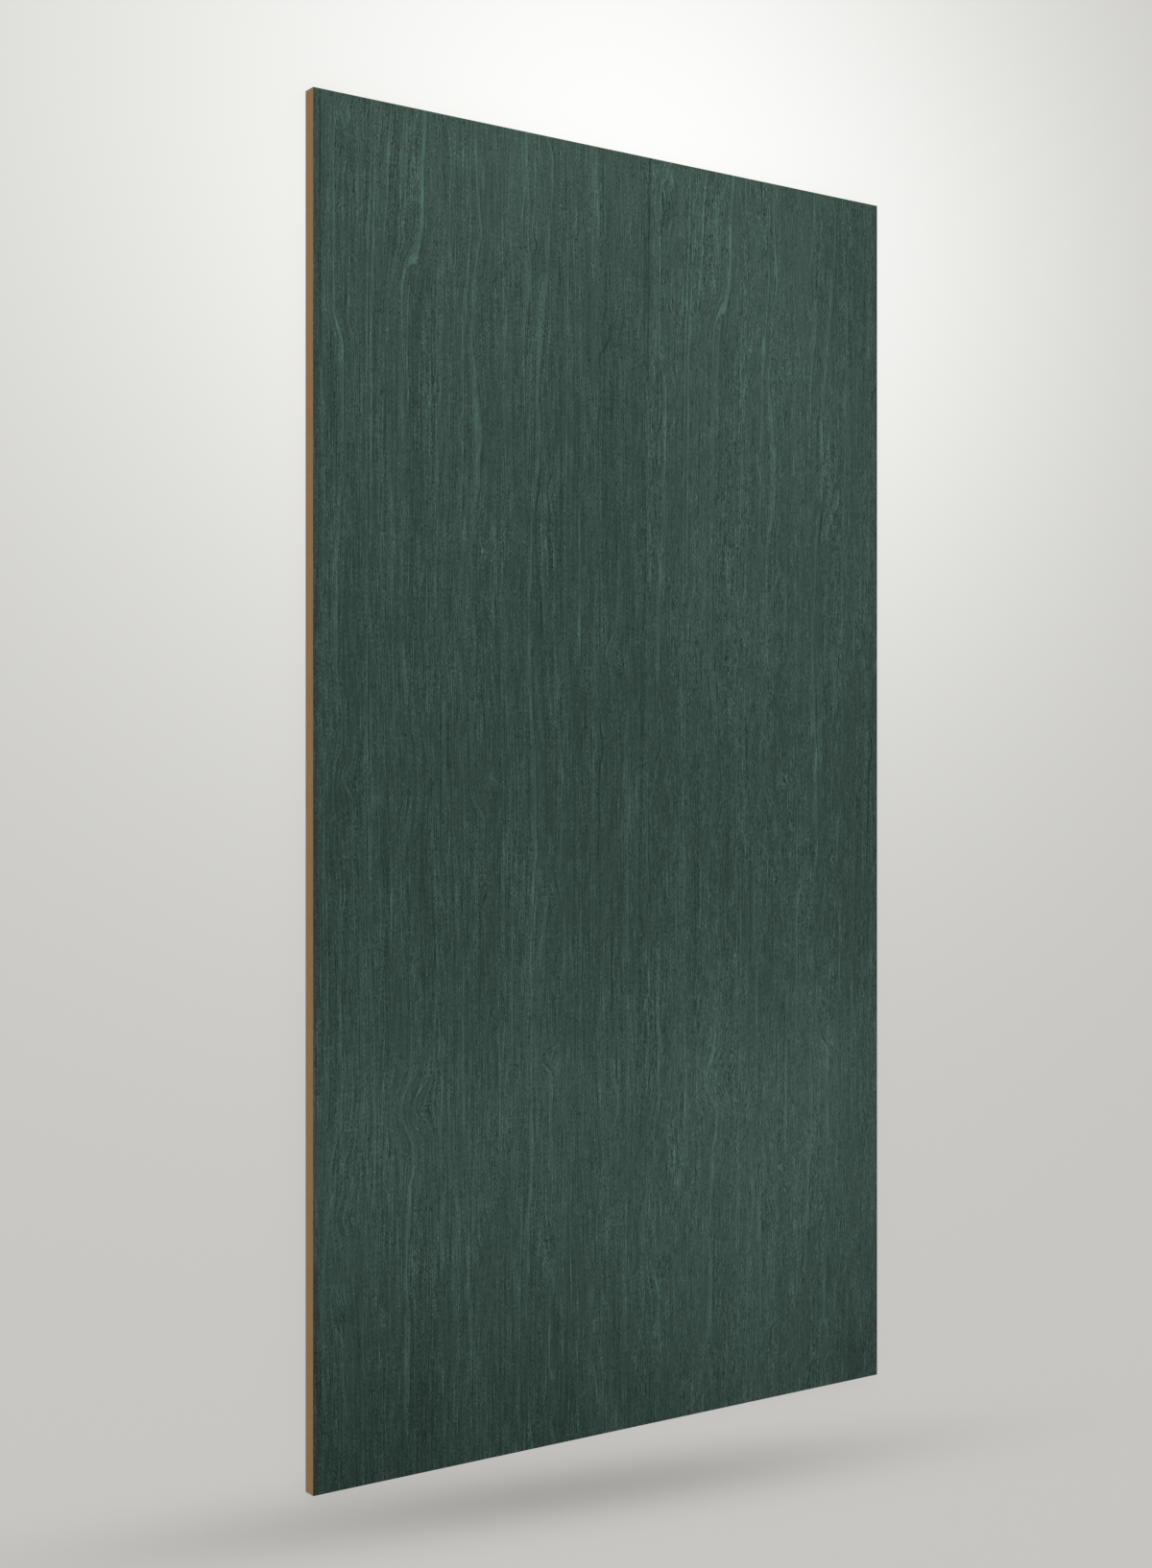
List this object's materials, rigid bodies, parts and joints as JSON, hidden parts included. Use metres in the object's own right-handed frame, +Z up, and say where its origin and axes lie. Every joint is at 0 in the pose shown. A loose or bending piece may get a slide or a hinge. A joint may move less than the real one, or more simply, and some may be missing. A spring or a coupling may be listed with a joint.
{
  "type": "dyed veneer board",
  "caption": "Flat rectangular board of fibreboard faced with green dyed knotty wood veneer, bare at its edges, used for wall panels, doors and furniture.",
  "frame": {"origin": "centre of the board's underside, on the floor it lies on", "axes": "+X across the grain, +Y along the grain and the length, +Z up out of the dyed face"},
  "size_m": [1.22, 2.25, 0.0262],
  "materials": {
    "core_board": "bare sawn fibreboard",
    "face_veneer": "dyed green, fine open grain, matt",
    "backing_veneer": "undyed, plain straight grain, sanded"
  },
  "bodies": {
    "root": {"core_board": "core_board", "face_veneer": "face_veneer", "backing_veneer": "backing_veneer"}
  },
  "joints": []
}
